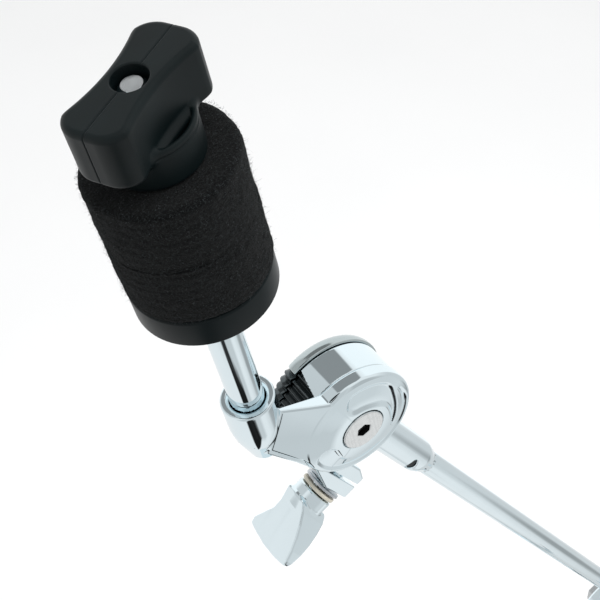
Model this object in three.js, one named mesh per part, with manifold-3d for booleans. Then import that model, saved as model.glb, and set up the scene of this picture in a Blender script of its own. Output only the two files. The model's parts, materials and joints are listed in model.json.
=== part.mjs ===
// Cymbal boom stand: a folding tripod, three telescoping tubes, a boom clamp, a boom arm and a
// tilting cymbal seat. Millimetres, +Z up, origin on the floor under the column.
// +X points from the column towards the cymbal seat, and every tilt axis runs along Y.
import * as THREE from "three";
import { mergeVertices } from "three/addons/utils/BufferGeometryUtils.js";
import Module from "manifold-3d";

const wasm = await Module();
wasm.setup();

// ---------------------------------------------------------------- driving dimensions
const GAP = 0.3; // between pieces that touch on the real stand
const rad = THREE.MathUtils.degToRad;

const BASE_TUBE = { outer: 14.3, inner: 12.9, low: 14, high: 470 };
const MID_TUBE = { outer: 11.1, inner: 9.7, low: 270, high: 690 };
const UPPER_TUBE = { outer: 7.95, inner: 6.6, low: 455, high: 822 };

const COLLAR = { wall: 4.8, below: 24, above: 27, earLow: 4, earHigh: 24, earReach: 17, slot: 2 };
const SHANK = 3; // radius of the M6 clamping bolts
const SHANK_HOLE = SHANK + GAP;

const BOOM_PIVOT_Z = 850;
const BOOM_TILT = 55.5; // degrees of the arm above the horizontal
const ARM_SIDE = 26; // the arm passes beside the column, this far along +Y
const ARM_OFFSET = 14; // and above the clamp's own pivot
const ARM_REACH = 420; // from the clamp to the tilter hinge, along the arm
const ARM_TAIL = 60; // from the clamp to the lower end
const ARM_TUBE = { outer: 4.55, inner: 3.4 };

const HEAD_LEAN = 12.2; // degrees of the cymbal rod from the vertical, towards +X
const KNUCKLE = { outer: 19.6, inner: 14.3, half: 5.8 };
const FERRULE = { radius: 6.4, taperStart: 61, end: 70, endRadius: 5.1, socket: 48 };
const PLATE = { radius: 20.2, inner: 6.1, face: 11.3 };
const SCREW = { radius: 7.4, face: 13.9, shank: 4, socket: 2.4 };
const ROD = { x: 27.8, radius: 5.4, threadRadius: 3.9, top: 156, flat: 2.64 };
const ROD_COLLAR = { outer: 8.4, bore: 5.7, low: 10.5, top: 31 };
const CUP = { radius: 19.8, low: 82.4, high: 93.4, recess: 2.2 };
const FELT = { outer: 20, inner: 6.7, thickness: 19.6 };
const SLEEVE = { outer: 6.3, inner: 4.25 };
const NUT = { flange: 12.2, top: 157.8, wings: 16, half: 19.6, endHalf: 8.9, waist: 6.2,
  corner: 4.5, hole: 4.55, turn: 27 };
// Clamping lug of the arm's knuckle, measured from the tilter hinge: below it, and down the arm.
const LUG = { below: 13.8, face: 25.3, end: 36.5, bolt: 29.4, boltY: -0.3, slit: 19.5, slitHalf: 0.6,
  root: 10 };

const HINGE_RADIUS = 30; // of the tripod's collar pivots from the column's axis
const BRACE_Z = 60;
const LINK = 150; // brace length, and the leg's length above its brace pin
const SPREAD = 60; // degrees of the legs from the vertical
const LEG = { length: 402, half: 7, under: -5, over: 7.5, wall: 1.5 };
const LEG_PIN_Z = BRACE_Z + 2 * LINK * Math.cos(rad(SPREAD));
const PIN = 2.5;

// ---------------------------------------------------------------- finishes
const CHROME = { color: 0xe4e9ec, metalness: 1, roughness: 0.08 };
const SATIN_STEEL = { color: 0xc3c6c6, metalness: 1, roughness: 0.35 };
const ZINC = { color: 0xaeb4b8, metalness: 1, roughness: 0.4 };
const BRASS = { color: 0xb89b55, metalness: 1, roughness: 0.35 };
const BLACK_PLASTIC = { color: 0x15191b, metalness: 0, roughness: 0.5 };
const BLACK_FELT = { color: 0x0c0d0e, metalness: 0, roughness: 1 };
const NYLON = { color: 0xd6d0b8, metalness: 0, roughness: 0.5 };
const RUBBER = { color: 0x18191a, metalness: 0, roughness: 0.85 };
const FIBRE = { color: 0x2a2725, metalness: 0, roughness: 0.9 };

// ---------------------------------------------------------------- solids
function toSolid(geometry) {
  const bare = geometry.index ? geometry.toNonIndexed() : geometry.clone();
  bare.deleteAttribute("normal");
  bare.deleteAttribute("uv");
  const merged = mergeVertices(bare, 1e-4);
  const corners = merged.index.array;
  const triVerts = [];
  for (let i = 0; i < corners.length; i += 3) {
    const [a, b, c] = corners.slice(i, i + 3);
    if (a !== b && b !== c && c !== a) triVerts.push(a, b, c);
  }
  return new wasm.Manifold(
    new wasm.Mesh({
      numProp: 3,
      vertProperties: merged.attributes.position.array,
      triVerts: new Uint32Array(triVerts),
    }),
  );
}

function toGeometry(solid) {
  const { vertProperties, triVerts } = solid.getMesh();
  const geometry = new THREE.BufferGeometry();
  geometry.setAttribute("position", new THREE.BufferAttribute(vertProperties, 3));
  geometry.setIndex(new THREE.BufferAttribute(triVerts, 1));
  return geometry;
}

const join = (...parts) => toGeometry(parts.map(toSolid).reduce((a, b) => a.add(b)));
const cut = (body, ...tools) =>
  toGeometry(tools.map(toSolid).reduce((a, b) => a.subtract(b), toSolid(body)));
const common = (a, b) => toGeometry(toSolid(a).intersect(toSolid(b)));

// A turned piece about Z. The profile is a list of [radius, z] that closes on itself or on the axis.
function turned(profile, segments = 28) {
  let area = 0;
  profile.forEach(([r, z], i) => {
    const [nextR, nextZ] = profile[(i + 1) % profile.length];
    area += r * nextZ - nextR * z;
  });
  const points = profile.map(([r, z]) => new THREE.Vector2(r, z));
  if (area < 0) points.reverse();
  if (points.every((p) => p.x > 0)) points.push(points[0].clone());
  return new THREE.LatheGeometry(points, segments).rotateX(Math.PI / 2);
}

const disc = (radius, low, high, segments) =>
  turned([[0, low], [radius, low], [radius, high], [0, high]], segments);
const ring = (inner, outer, low, high, segments) =>
  turned([[inner, low], [outer, low], [outer, high], [inner, high]], segments);
const chamferedDisc = (radius, low, high, c, segments) =>
  turned([[0, low], [radius - c, low], [radius, low + c], [radius, high - c], [radius - c, high],
    [0, high]], segments);
const alongX = (geometry) => geometry.rotateY(Math.PI / 2); // +Z becomes +X
const alongY = (geometry) => geometry.rotateX(-Math.PI / 2); // +Z becomes +Y
const box = (x0, x1, y0, y1, z0, z1) =>
  new THREE.BoxGeometry(x1 - x0, y1 - y0, z1 - z0)
    .translate((x0 + x1) / 2, (y0 + y1) / 2, (z0 + z1) / 2);
// A flat outline in the XZ plane, as thick as y0 to y1.
const plateXZ = (shape, y0, y1) =>
  new THREE.ExtrudeGeometry(shape, { depth: y1 - y0, bevelEnabled: false, curveSegments: 8 })
    .rotateX(Math.PI / 2)
    .translate(0, y1, 0);
const plateXY = (shape, z0, z1) =>
  new THREE.ExtrudeGeometry(shape, { depth: z1 - z0, bevelEnabled: false, curveSegments: 8 })
    .translate(0, 0, z0);
const polygon = (points) => new THREE.Shape(points.map(([x, y]) => new THREE.Vector2(x, y)));

function piece(parent, name, geometry, finish) {
  const mesh = new THREE.Mesh(toGeometry(toSolid(geometry)), new THREE.MeshStandardMaterial(finish));
  mesh.name = name;
  parent.add(mesh);
  return mesh;
}

function group(parent, x = 0, y = 0, z = 0) {
  const made = new THREE.Group();
  made.position.set(x, y, z);
  parent.add(made);
  return made;
}

// ---------------------------------------------------------------- wings for turning by hand
// A bar with two round lobes and a waist, seen from its end, long side along X.
function lobedOutline({ half, endHalf, waist, corner }) {
  const flat = half - corner;
  const pull = 2 * waist - endHalf;
  const shape = new THREE.Shape();
  shape.moveTo(-flat, -endHalf);
  shape.quadraticCurveTo(0, -pull, flat, -endHalf);
  shape.quadraticCurveTo(half, -endHalf, half, -endHalf + corner);
  shape.lineTo(half, endHalf - corner);
  shape.quadraticCurveTo(half, endHalf, flat, endHalf);
  shape.quadraticCurveTo(0, pull, -flat, endHalf);
  shape.quadraticCurveTo(-half, endHalf, -half, endHalf - corner);
  shape.lineTo(-half, -endHalf + corner);
  shape.quadraticCurveTo(-half, -endHalf, -flat, -endHalf);
  return shape;
}

// A round hub along +X from x = 0, with the lobed bar on its outer end.
const WING = { hub: 7, hubLength: 7, start: 5, reach: 24, half: 15, endHalf: 7, waist: 4.8, corner: 4 };
const wingHead = (size) =>
  join(
    alongX(chamferedDisc(size.hub, 0, size.hubLength, 0.8, 16)),
    alongX(plateXY(lobedOutline(size), size.start, size.reach)),
  );

// A wing head with its threaded shank along -X.
function wingBolt(shankLength, size = WING) {
  return join(wingHead(size), alongX(chamferedDisc(SHANK, -shankLength, 1, 0.6, 12)));
}

// ---------------------------------------------------------------- rubber tip and base tube
const stand = new THREE.Group();

const tipTop = 40;
piece(stand, "base_tip", turned([[0, 0], [14.5, 0], [17, 2], [17, tipTop - 2], [16, tipTop],
  [BASE_TUBE.outer + GAP, tipTop], [BASE_TUBE.outer + GAP, BASE_TUBE.low - GAP],
  [0, BASE_TUBE.low - GAP]], 24), RUBBER);

const tube = ({ outer, inner, low, high }, segments = 32) => ring(inner, outer, low, high, segments);
piece(stand, "base_tube", tube(BASE_TUBE), CHROME);
piece(stand, "mid_tube", tube(MID_TUBE), CHROME);
piece(stand, "upper_tube", tube(UPPER_TUBE), CHROME);

// ---------------------------------------------------------------- height collars
// A split collar fixed on the end of one tube. Its bushing guides the next tube and its wing bolt
// pulls the two ears together.
function heightCollar(name, holder, guided, turn) {
  const place = group(stand, 0, 0, holder.high);
  place.rotation.z = rad(turn);
  const outer = holder.outer + COLLAR.wall;
  const bushOuter = guided.outer + GAP + 1.5;
  const boreTop = bushOuter + GAP;
  const boltY = -(outer + COLLAR.earReach - 7);
  const boltZ = (COLLAR.earLow + COLLAR.earHigh) / 2;
  const ears = box(-9, 9, -(outer + COLLAR.earReach), -boreTop, COLLAR.earLow, COLLAR.earHigh);
  const body = join(
    turned([[0, -COLLAR.below], [outer - 1.2, -COLLAR.below], [outer, -COLLAR.below + 1.2],
      [outer, COLLAR.above - 1.2], [outer - 1.2, COLLAR.above], [0, COLLAR.above]], 24),
    ears,
  );
  const collar = cut(
    body,
    disc(holder.outer + GAP, -COLLAR.below - 1, 1, 24),
    disc(boreTop, 0, COLLAR.above + 1, 24),
    box(-COLLAR.slot / 2, COLLAR.slot / 2, -(outer + COLLAR.earReach + 1), 0, 2, COLLAR.above + 1),
    alongX(disc(SHANK_HOLE, -10, 10, 12)).translate(0, boltY, boltZ),
  );
  piece(place, `${name}_collar`, collar, CHROME);

  const flange = bushOuter + 2.4;
  piece(place, `${name}_bushing`, turned([[guided.outer + GAP, 1.3], [bushOuter, 1.3],
    [bushOuter, COLLAR.above + GAP], [flange, COLLAR.above + GAP], [flange, COLLAR.above + 2.4],
    [guided.outer + GAP, COLLAR.above + 2.4]], 24), NYLON);

  const bolt = group(place, 9 + GAP, boltY, boltZ);
  piece(bolt, `${name}_wing_bolt`, wingBolt(20), CHROME);
}
heightCollar("base", BASE_TUBE, MID_TUBE, 0);
heightCollar("mid", MID_TUBE, UPPER_TUBE, 0);

// ---------------------------------------------------------------- tripod collars
const around = (count, make) => Array.from({ length: count }, (_, i) => make((i * 360) / count, i));

// A ring round the base tube with three lugs that hold the links' pins.
function lugRing({ low, high, lugZ, lugHalf, lugRadius }) {
  const lugs = around(3, (angle) =>
    join(
      box(HINGE_RADIUS - 15, HINGE_RADIUS, -lugHalf, lugHalf, lugZ - lugRadius, lugZ + lugRadius),
      alongY(disc(lugRadius, -lugHalf, lugHalf, 16)).translate(HINGE_RADIUS, 0, lugZ),
    ).rotateZ(rad(angle)),
  );
  const holes = around(3, (angle) =>
    alongY(disc(PIN + GAP, -lugHalf - 1, lugHalf + 1, 12))
      .translate(HINGE_RADIUS, 0, lugZ)
      .rotateZ(rad(angle)),
  );
  return cut(
    join(chamferedDisc(21.5, low, high, 1.5, 24), ...lugs),
    disc(BASE_TUBE.outer + GAP, low - 1, high + 1, 24),
    ...holes,
  );
}

piece(stand, "brace_collar", lugRing({ low: BRACE_Z - 12, high: BRACE_Z + 12, lugZ: BRACE_Z,
  lugHalf: 6.4, lugRadius: 6.5 }), CHROME);

const legCollarBolt = LEG_PIN_Z + 15;
const bossEnd = 30;
const legCollar = cut(
  join(
    lugRing({ low: LEG_PIN_Z - 12, high: LEG_PIN_Z + 24, lugZ: LEG_PIN_Z, lugHalf: 4.2,
      lugRadius: 5.6 }),
    alongX(disc(7, -bossEnd, -18, 16)).translate(0, 0, legCollarBolt),
  ),
  alongX(disc(SHANK_HOLE, -bossEnd - 1, 0, 12)).translate(0, 0, legCollarBolt),
);
piece(stand, "leg_collar", legCollar, CHROME);

const legBolt = group(stand, -bossEnd - GAP, 0, legCollarBolt);
legBolt.rotation.y = Math.PI;
const legWing = { ...WING, half: 13, reach: 22 };
piece(legBolt, "leg_collar_wing_bolt", wingBolt(15.4, legWing).rotateX(Math.PI / 2), CHROME);

// ---------------------------------------------------------------- legs
// In a leg's own frame +X runs down the leg from its top pin, and +Z is its outer, upper side.
function legChannel() {
  const { length, half, under, over, wall } = LEG;
  const outside = box(-7, length, -half, half, under, over);
  const inside = box(-8, length + 1, -half + wall, half - wall, under - 1, over - wall);
  const heads = [-1, 1].map((side) =>
    alongY(disc(3.6, 0, 1.6, 12)).translate(0, side > 0 ? half - 0.2 : -half - 1.4, 0),
  );
  return cut(
    join(outside, ...heads),
    inside,
    alongY(disc(PIN + GAP, -half - 1, half + 1, 12)).translate(LINK, 0, 0),
  );
}

const STRIP = { inner: 7.9, thickness: 2.2, half: 5 };
// Two flat strips either side of the leg, tied by a plate halfway. +X runs out along the brace.
function braceLink() {
  const { inner, thickness, half } = STRIP;
  const strips = [inner, -inner - thickness].map((y) =>
    join(
      box(0, LINK, y, y + thickness, -half, half),
      alongY(disc(half, y, y + thickness, 16)),
      alongY(disc(half, y, y + thickness, 16)).translate(LINK, 0, 0),
    ),
  );
  const tie = box(LINK / 2 - 9, LINK / 2 + 9, -inner - 0.5, inner + 0.5, half - 2.2, half);
  const holes = [0, LINK].map((x) =>
    alongY(disc(PIN + GAP, -12, 12, 12)).translate(x, 0, 0),
  );
  return cut(join(...strips, tie), ...holes);
}

// A rivet across both strips with a flat head at each end.
function rivet(reach) {
  return alongY(turned([[0, -reach - 1.4], [3.6, -reach - 1.4], [3.6, -reach], [PIN, -reach],
    [PIN, reach], [3.6, reach], [3.6, reach + 1.4], [0, reach + 1.4]], 12));
}

function rubberFoot() {
  const cover = turned([[0, LEG.length - 24], [10, LEG.length - 24], [11.5, LEG.length - 20],
    [12.5, LEG.length + 2], [9.5, LEG.length + 8], [0, LEG.length + 11]], 20);
  const pocket = box(LEG.length - 25, LEG.length + GAP, -LEG.half - GAP, LEG.half + GAP,
    LEG.under - GAP, LEG.over + GAP);
  const underFloor = box(0, 500, -40, 40, -LEG_PIN_Z - 60, -LEG_PIN_Z)
    .rotateY(-rad(90 - SPREAD));
  return cut(alongX(cover), pocket, underFloor);
}

const stripReach = STRIP.inner + STRIP.thickness + GAP;
around(3, (angle, i) => {
  const n = i + 1;
  const side = group(stand);
  side.rotation.z = rad(angle);

  const leg = group(side, HINGE_RADIUS, 0, LEG_PIN_Z);
  leg.rotation.y = rad(90 - SPREAD);
  piece(leg, `leg_${n}`, legChannel(), CHROME);
  piece(leg, `foot_${n}`, rubberFoot(), RUBBER);
  piece(leg, `brace_pin_${n}`, rivet(stripReach).translate(LINK, 0, 0), SATIN_STEEL);

  const brace = group(side, HINGE_RADIUS, 0, BRACE_Z);
  brace.rotation.y = rad(SPREAD - 90);
  piece(brace, `brace_${n}`, braceLink(), CHROME);
  piece(brace, `hinge_pin_${n}`, rivet(stripReach), SATIN_STEEL);

  const top = group(side, HINGE_RADIUS, 0, LEG_PIN_Z);
  piece(top, `leg_pin_${n}`, alongY(disc(PIN, -5.2, 5.2, 12)), SATIN_STEEL);
});

// ---------------------------------------------------------------- boom post and clamp
const POST = { half: 7, radius: 19, sleeve: 11.5, bottom: 792 };
const BOOM_BOLT = 4;
const boomPost = cut(
  join(
    chamferedDisc(POST.sleeve, POST.bottom, BOOM_PIVOT_Z - POST.radius - 1, 1, 24),
    alongY(chamferedDisc(POST.radius, -POST.half, POST.half, 1.2, 32)).translate(0, 0, BOOM_PIVOT_Z),
    box(-9, 9, -POST.half, POST.half, BOOM_PIVOT_Z - POST.radius - 12, BOOM_PIVOT_Z),
  ),
  disc(UPPER_TUBE.outer + GAP, POST.bottom - 1, UPPER_TUBE.high + GAP, 24),
  alongY(disc(BOOM_BOLT + GAP, -POST.half - 1, POST.half + 1, 16)).translate(0, 0, BOOM_PIVOT_Z),
);
piece(stand, "boom_post", boomPost, CHROME);

// In the clamp's frame +X runs up the arm and +Z is the arm's upper side.
const clamp = group(stand, 0, 0, BOOM_PIVOT_Z);
clamp.rotation.y = rad(-BOOM_TILT);

const FRICTION = { low: POST.half + GAP, thickness: 1.6 };
const clampBack = FRICTION.low + FRICTION.thickness + GAP;
const CLAMP = { radius: 19, back: clampBack, faceY: clampBack + 6, blockRadius: 10.8, half: 17,
  boss: 9.5, front: ARM_SIDE + 11.5, slit: 0.8 };
const BUSH = { inner: ARM_TUBE.outer + GAP, outer: 6.6 };
const boomClamp = cut(
  join(
    alongY(chamferedDisc(CLAMP.radius, CLAMP.back, CLAMP.faceY, 1.2, 32)),
    alongY(chamferedDisc(CLAMP.boss, CLAMP.back, CLAMP.front, 0.8, 24)),
    alongX(chamferedDisc(CLAMP.blockRadius, -CLAMP.half, CLAMP.half, 1, 24))
      .translate(0, ARM_SIDE, ARM_OFFSET),
    box(-13, 13, CLAMP.faceY - 2, ARM_SIDE, -2, ARM_OFFSET + 6),
    box(-CLAMP.boss, CLAMP.boss, ARM_SIDE - 6, CLAMP.front - 1, 0, ARM_OFFSET),
  ),
  alongX(disc(BUSH.outer + GAP, -CLAMP.half - 1, CLAMP.half + 1, 20))
    .translate(0, ARM_SIDE, ARM_OFFSET),
  alongY(disc(BOOM_BOLT + GAP, 0, CLAMP.front + 1, 16)),
  box(-CLAMP.half - 1, CLAMP.half + 1, ARM_SIDE - CLAMP.slit, ARM_SIDE + CLAMP.slit, -20,
    ARM_OFFSET),
);
piece(clamp, "boom_clamp", boomClamp, CHROME);
piece(clamp, "boom_friction_disc", alongY(ring(5, POST.radius - 1, FRICTION.low,
  FRICTION.low + FRICTION.thickness, 24)), FIBRE);

const bushing = turned([[BUSH.inner, -CLAMP.half], [BUSH.outer, -CLAMP.half],
  [BUSH.outer, CLAMP.half + GAP], [BUSH.outer + 2.2, CLAMP.half + GAP],
  [BUSH.outer + 2.2, CLAMP.half + 2.4], [BUSH.inner, CLAMP.half + 2.4]], 20);
piece(clamp, "boom_bushing", alongX(bushing).translate(0, ARM_SIDE, ARM_OFFSET), NYLON);

const boltHead = new THREE.CylinderGeometry(9, 9, 6, 6).translate(0, -POST.half - GAP - 3, 0);
const boltEnd = CLAMP.front + 14;
piece(clamp, "boom_pivot_bolt",
  join(boltHead, alongY(chamferedDisc(BOOM_BOLT, -POST.half - 4, boltEnd, 0.8, 16))), SATIN_STEEL);
piece(clamp, "boom_wing_washer",
  alongY(ring(BOOM_BOLT + GAP, 9, CLAMP.front + GAP, CLAMP.front + GAP + 1.6, 16)), ZINC);

const BOOM_WING = { hub: 8, hubLength: 9, start: 6, reach: 26, half: 19, endHalf: 8, waist: 6,
  corner: 4.5 };
const nutStart = CLAMP.front + 2 * GAP + 1.6;
const boomNut = cut(
  wingHead(BOOM_WING),
  alongX(disc(BOOM_BOLT + GAP, -1, boltEnd - nutStart + 1, 16)),
);
piece(clamp, "boom_wing_nut",
  boomNut.rotateZ(Math.PI / 2).rotateY(rad(20)).translate(0, nutStart, 0), CHROME);

// ---------------------------------------------------------------- boom arm
// In the arm's frame the origin is the tilter hinge, and -X runs down the tube.
const arm = group(clamp, ARM_REACH, ARM_SIDE, ARM_OFFSET);
const tubeEnd = -(ARM_REACH + ARM_TAIL);
piece(arm, "boom_tube",
  alongX(ring(ARM_TUBE.inner, ARM_TUBE.outer, tubeEnd, -FERRULE.socket - 1, 24)), CHROME);

const capInner = ARM_TUBE.outer + GAP;
piece(arm, "boom_end_cap", alongX(turned([[0, tubeEnd - 3], [5, tubeEnd - 3], [6, tubeEnd - 1.5],
  [6, tubeEnd + 12], [capInner, tubeEnd + 12], [capInner, tubeEnd - GAP], [0, tubeEnd - GAP]], 20)),
  BLACK_PLASTIC);

const LOCK_PIN = { at: -55.5, radius: 1.9, deep: 5, proud: 5.9, turn: 58 };
const lockPin = (radius, low, high) =>
  disc(radius, -high, -low, 12).rotateX(rad(LOCK_PIN.turn)).translate(LOCK_PIN.at, 0, 0);
const ferrule = turned([[0, 20.8], [FERRULE.radius, 20.8], [FERRULE.radius, FERRULE.taperStart],
  [FERRULE.endRadius, FERRULE.end], [0, FERRULE.end]], 24);
// The lug runs down beside the ferrule. Its slit turns in to the bore, so the bolt closes the ring.
const lug = plateXZ(polygon([[0, -18.5], [-22, -LUG.face], [-LUG.end, -LUG.face], [-LUG.end, -16],
  [-31, -LUG.below], [0, -LUG.below]]), -KNUCKLE.half, KNUCKLE.half);
const slitFace = LUG.slit + LUG.slitHalf;
const knuckle = cut(
  join(
    alongY(disc(KNUCKLE.outer, -KNUCKLE.half, KNUCKLE.half, 40)),
    alongX(ferrule).rotateY(Math.PI),
    box(-21.5, -12, -KNUCKLE.half, KNUCKLE.half, -FERRULE.radius, FERRULE.radius),
    lug,
  ),
  alongY(disc(KNUCKLE.inner, -10, 10, 24)),
  alongX(disc(ARM_TUBE.outer + GAP, -FERRULE.end - 1, -FERRULE.socket, 20)),
  box(-LUG.end - 1, -LUG.root + LUG.slitHalf, -10, 10, -slitFace, LUG.slitHalf - LUG.slit),
  box(-LUG.root - LUG.slitHalf, -LUG.root + LUG.slitHalf, -10, 10, -slitFace, -8),
  disc(SHANK_HOLE, -LUG.face - 1, -LUG.below + 2, 12).translate(-LUG.bolt, LUG.boltY, 0),
  lockPin(LOCK_PIN.radius + GAP, 2, 10),
);
piece(arm, "arm_knuckle", knuckle, CHROME);
piece(arm, "ferrule_pin", lockPin(LOCK_PIN.radius, LOCK_PIN.deep, LOCK_PIN.proud), BLACK_PLASTIC);

// The wing bolt squeezes the two jaws of the lug. Its +X points away from the lug.
const tilterBolt = group(arm, -LUG.bolt, LUG.boltY, -LUG.face);
tilterBolt.rotation.y = Math.PI / 2;
const washer = (low, high, radius) => alongX(ring(SHANK_HOLE, radius, low, high, 16));
piece(tilterBolt, "lug_washer", washer(GAP, 1.8, 6.8), ZINC);
piece(tilterBolt, "nylon_washer", washer(2.1, 3.9, 6.6), NYLON);

// A cast wing that widens and thins from its hub to its outer end. Long side along Y.
const TILTER_WING = { hub: 6.8, start: 4.2, hubEnd: 12, shankEnd: -12.3, turn: 9,
  width: [[8.6, 7.6], [12, 8.3], [16, 9.2], [20, 10.4], [24, 12], [27, 13], [29.4, 12], [30.2, 9]],
  thickness: [[8.6, 5], [13, 4.9], [16, 4], [20, 2.5], [24, 1.6], [30.2, 1.1]] };
const mirrored = (side) => polygon([...side, ...side.map(([x, y]) => [x, -y]).reverse()]);
const wingReach = 15; // past the wing's half width and half thickness
const tilterWing = join(
  common(
    plateXY(mirrored(TILTER_WING.width), -wingReach, wingReach),
    plateXZ(mirrored(TILTER_WING.thickness), -wingReach, wingReach),
  ),
  alongX(chamferedDisc(TILTER_WING.hub, TILTER_WING.start, TILTER_WING.hubEnd, 0.8, 16)),
  alongX(chamferedDisc(SHANK, TILTER_WING.shankEnd, TILTER_WING.hubEnd, 0.6, 12)),
);
piece(tilterBolt, "tilter_wing_bolt", tilterWing.rotateX(rad(TILTER_WING.turn)), CHROME);

// ---------------------------------------------------------------- tilter
// In the head's frame the origin is the tilter hinge and +Z runs up the cymbal rod.
const head = group(arm);
head.rotation.y = rad(HEAD_LEAN + BOOM_TILT);

const hubRadius = KNUCKLE.inner - GAP;
const frontPlate = turned([[0, PLATE.inner], [PLATE.radius - 0.6, PLATE.inner],
  [PLATE.radius, PLATE.inner + 0.6], [PLATE.radius, PLATE.face - 1.2],
  [PLATE.radius - 1.4, PLATE.face], [9.2, 13.4], [0, 13.4]], 40);
const wedge = common(
  plateXZ(polygon([[6, 18], [ROD.x, 28.3], [ROD.x + 6, 22], [ROD.x + 3, 10.5],
    [21.5, 0.5], [14.2, -14.4], [0, 0]]), -10, 20),
  plateXY(polygon([[0, PLATE.inner], [0, PLATE.face - 0.4], [14, PLATE.face - 0.4],
    [ROD.x + 3, 7.4], [ROD.x + 3, -4], [24, -4], [24, PLATE.inner]]), -30, 40),
);
const tilterBody = cut(
  join(
    alongY(frontPlate),
    alongY(disc(hubRadius, -KNUCKLE.half, PLATE.inner + 1, 24)),
    wedge,
    chamferedDisc(ROD_COLLAR.outer, ROD_COLLAR.low, ROD_COLLAR.top, 0.7, 24).translate(ROD.x, 0, 0),
  ),
  turned([[0, ROD_COLLAR.low + 2], [ROD_COLLAR.bore, ROD_COLLAR.low + 2],
    [ROD_COLLAR.bore, ROD_COLLAR.top - 1.6], [ROD_COLLAR.bore + 1.4, ROD_COLLAR.top],
    [ROD_COLLAR.bore + 1.4, ROD_COLLAR.top + 1], [0, ROD_COLLAR.top + 1]], 20)
    .translate(ROD.x, 0, 0),
  alongY(disc(SCREW.radius + GAP, SCREW.face - 4.3, 20, 24)),
  alongY(disc(SCREW.shank + GAP, -20, 20, 16)),
);
piece(head, "tilter_body", tilterBody, CHROME);

const rearPlate = cut(
  alongY(turned([[0, -12.4], [16, -12.4], [PLATE.radius - 0.8, -11], [PLATE.radius, -9.4],
    [PLATE.radius, -6.7], [PLATE.radius - 0.6, -6.1], [0, -6.1]], 32)),
  alongY(disc(SCREW.shank + GAP, -20, 0, 16)),
);
piece(head, "tilter_rear_plate", rearPlate, CHROME);

const hexSocket = new THREE.CylinderGeometry(SCREW.socket, SCREW.socket, 6, 6)
  .rotateY(rad(14)).translate(0, SCREW.face, 0);
const pivotScrew = cut(
  join(
    alongY(turned([[0, SCREW.face - 4], [SCREW.radius, SCREW.face - 4],
      [SCREW.radius, SCREW.face - 0.3], [SCREW.radius - 0.3, SCREW.face], [0, SCREW.face]], 24)),
    alongY(disc(SCREW.shank, -19.5, SCREW.face - 3, 16)),
  ),
  hexSocket,
);
piece(head, "pivot_screw", pivotScrew, SATIN_STEEL);
piece(head, "pivot_nut", cut(
  new THREE.CylinderGeometry(7.6, 7.6, 6, 6).translate(0, -15.8, 0),
  alongY(disc(SCREW.shank + GAP, -25, 0, 16)),
), ZINC);

// ---------------------------------------------------------------- cymbal rod, seat and felts
const rodGroup = group(head, ROD.x, 0, 0);
const shoulder = CUP.low + 4.4;
piece(rodGroup, "cymbal_rod", turned([[0, ROD_COLLAR.low + 2.4], [ROD.radius, ROD_COLLAR.low + 2.4],
  [ROD.radius, shoulder], [ROD.threadRadius, shoulder], [ROD.threadRadius, ROD.top - 1.3],
  [ROD.flat, ROD.top], [0, ROD.top]], 20), CHROME);

const cupFloor = CUP.high - CUP.recess;
const sleeveSeat = cupFloor - 3;
piece(rodGroup, "seat_cup", turned([[ROD.radius + GAP, CUP.low + 0.8], [CUP.radius - 1.2, CUP.low],
  [CUP.radius, CUP.low + 0.9], [CUP.radius, CUP.high - 0.6], [CUP.radius - 0.6, CUP.high],
  [8.4, CUP.high], [8.4, sleeveSeat], [ROD.threadRadius + GAP, sleeveSeat],
  [ROD.threadRadius + GAP, shoulder + GAP], [ROD.radius + GAP, shoulder + GAP]], 28),
  BLACK_PLASTIC);

const feltLow = CUP.high + GAP;
const feltMid = feltLow + FELT.thickness;
const feltHigh = feltMid + GAP + FELT.thickness;
piece(rodGroup, "cymbal_sleeve", turned([[SLEEVE.inner, sleeveSeat + GAP],
  [8, sleeveSeat + GAP], [8, sleeveSeat + 2], [SLEEVE.outer, sleeveSeat + 2],
  [SLEEVE.outer, feltHigh - 4], [SLEEVE.inner, feltHigh - 4]], 16), BLACK_PLASTIC);
piece(rodGroup, "lower_felt", ring(FELT.inner, FELT.outer, feltLow, feltMid, 28), BLACK_FELT);
piece(rodGroup, "upper_felt", ring(FELT.inner, FELT.outer, feltMid + GAP, feltHigh, 28), BLACK_FELT);

// ---------------------------------------------------------------- wing nut
const nutLow = feltHigh + GAP;
const wingsLow = NUT.top - NUT.wings;
const INSERT = { inner: ROD.threadRadius + GAP, outer: 5.2, flange: 7.6 };
const insertTop = wingsLow + 6;
const wingNut = cut(
  join(
    turned([[0, nutLow], [NUT.flange - 1, nutLow], [NUT.flange, nutLow + 1],
      [NUT.flange - 1.2, wingsLow + 3], [0, wingsLow + 3]], 24),
    plateXY(lobedOutline(NUT), wingsLow, NUT.top),
  ),
  disc(NUT.hole, nutLow - 1, NUT.top + 1, 16),
  disc(INSERT.outer + GAP, nutLow - 1, insertTop + GAP, 16),
  disc(INSERT.flange + GAP, nutLow - 1, nutLow + 2.2, 16),
);
const nutGroup = group(rodGroup);
nutGroup.rotation.z = rad(NUT.turn);
piece(nutGroup, "wing_nut", wingNut, BLACK_PLASTIC);
piece(rodGroup, "nut_insert", turned([[INSERT.inner, nutLow], [INSERT.flange, nutLow],
  [INSERT.flange, nutLow + 1.9], [INSERT.outer, nutLow + 1.9], [INSERT.outer, insertTop],
  [INSERT.inner, insertTop]], 16), BRASS);

export default stand;
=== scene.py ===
"""A cymbal boom stand in chrome, with its tilter, felts and wing nut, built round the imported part."""

import json
import math

import bmesh
import bpy
import numpy as np
from mathutils import Matrix, Vector


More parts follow.
